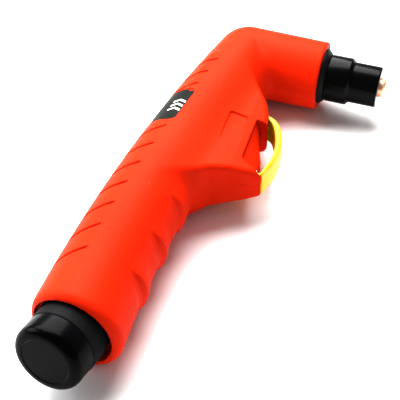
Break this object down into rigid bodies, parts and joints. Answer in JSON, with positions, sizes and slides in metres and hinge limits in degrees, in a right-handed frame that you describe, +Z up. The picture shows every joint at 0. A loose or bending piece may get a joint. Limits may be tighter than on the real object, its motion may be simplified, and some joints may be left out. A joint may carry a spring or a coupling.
{
  "type": "plasma cutting torch",
  "caption": "Hand-held air plasma cutting torch: bent two-shell grip, bowed trigger lever, side head with screw-on shield cup and tip, rear cable gland with push-in cap.",
  "frame": {"origin": "centre of the handle's rear opening, where the cable gland's neck meets its leaning sleeve", "axes": "+Y forward along the handle, +X to the trigger side, +Z up and square to the plane where the two shells meet; the torch lies on its left side"},
  "size_m": [0.1189, 0.2502, 0.0416],
  "materials": {
    "grip_red": "fine-textured moulded red plastic",
    "label_dark": "dark grey printed foil",
    "screw_steel": "zinc-plated steel",
    "gland_rubber": "matt black rubber",
    "inner_black": "glass-filled black moulding",
    "cap_black": "glossy black plastic",
    "brass": "turned brass",
    "lead_insulation": "silicone insulation",
    "seal_rubber": "silicone seal",
    "swirl_polymer": "brown high-temperature polymer",
    "copper": "turned copper",
    "emitter_metal": "grey hafnium",
    "cup_black": "semi-gloss black high-temperature moulding",
    "trigger_yellow": "satin yellow plastic",
    "plunger_plastic": "natural acetal"
  },
  "bodies": {
    "handle": {"handle_shell_right": "grip_red", "handle_shell_left": "grip_red", "label_plate": "label_dark", "shell_screws": "screw_steel", "cable_gland": "gland_rubber", "gland_nut": "inner_black", "lead_coupling": "brass", "gas_power_tube": "brass", "pilot_lead": "lead_insulation", "switch_leads": "lead_insulation", "torch_head_body": "inner_black", "cathode_body": "brass", "anode_ring": "brass", "head_o_ring": "seal_rubber", "swirl_ring": "swirl_polymer", "electrode": "copper", "emitter_insert": "emitter_metal", "trigger_pivot_pin": "screw_steel", "trigger_spring": "screw_steel", "switch_body": "inner_black", "switch_pins": "screw_steel", "switch_terminals": "brass", "cutting_tip": "copper"},
    "trigger": {"trigger_lever": "trigger_yellow"},
    "plunger": {"switch_plunger": "plunger_plastic"},
    "cup": {"shield_cup": "cup_black", "cup_thread_insert": "brass"},
    "cap": {"rear_cap": "cap_black"}
  },
  "joints": [
    {"name": "trigger_squeeze", "type": "hinge", "parent": "handle", "child": "trigger", "pos_m": [0.0483, 0.1113, 0], "axis": [0, 0, 1], "range_deg": [0, 4.2], "stiffness_Nm_per_rad": 3, "springref_deg": -2.86, "deforming": ["trigger_spring"]},
    {"name": "plunger_press", "type": "slide", "parent": "handle", "child": "plunger", "axis": [-1, 0, 0], "range_m": [0, 0.0032]},
    {"name": "cup_off", "type": "slide", "parent": "handle", "child": "cup", "axis": [0.9986, -0.0523, 0], "range_m": [0, 0.032]},
    {"name": "cap_pull", "type": "slide", "parent": "handle", "child": "cap", "axis": [-0.1738, -0.9768, 0.1252], "range_m": [0, 0.03]}
  ],
  "couplings": [
    {"joint": "plunger_press", "follows": "trigger_squeeze", "m_per_rad": 0.0399}
  ]
}
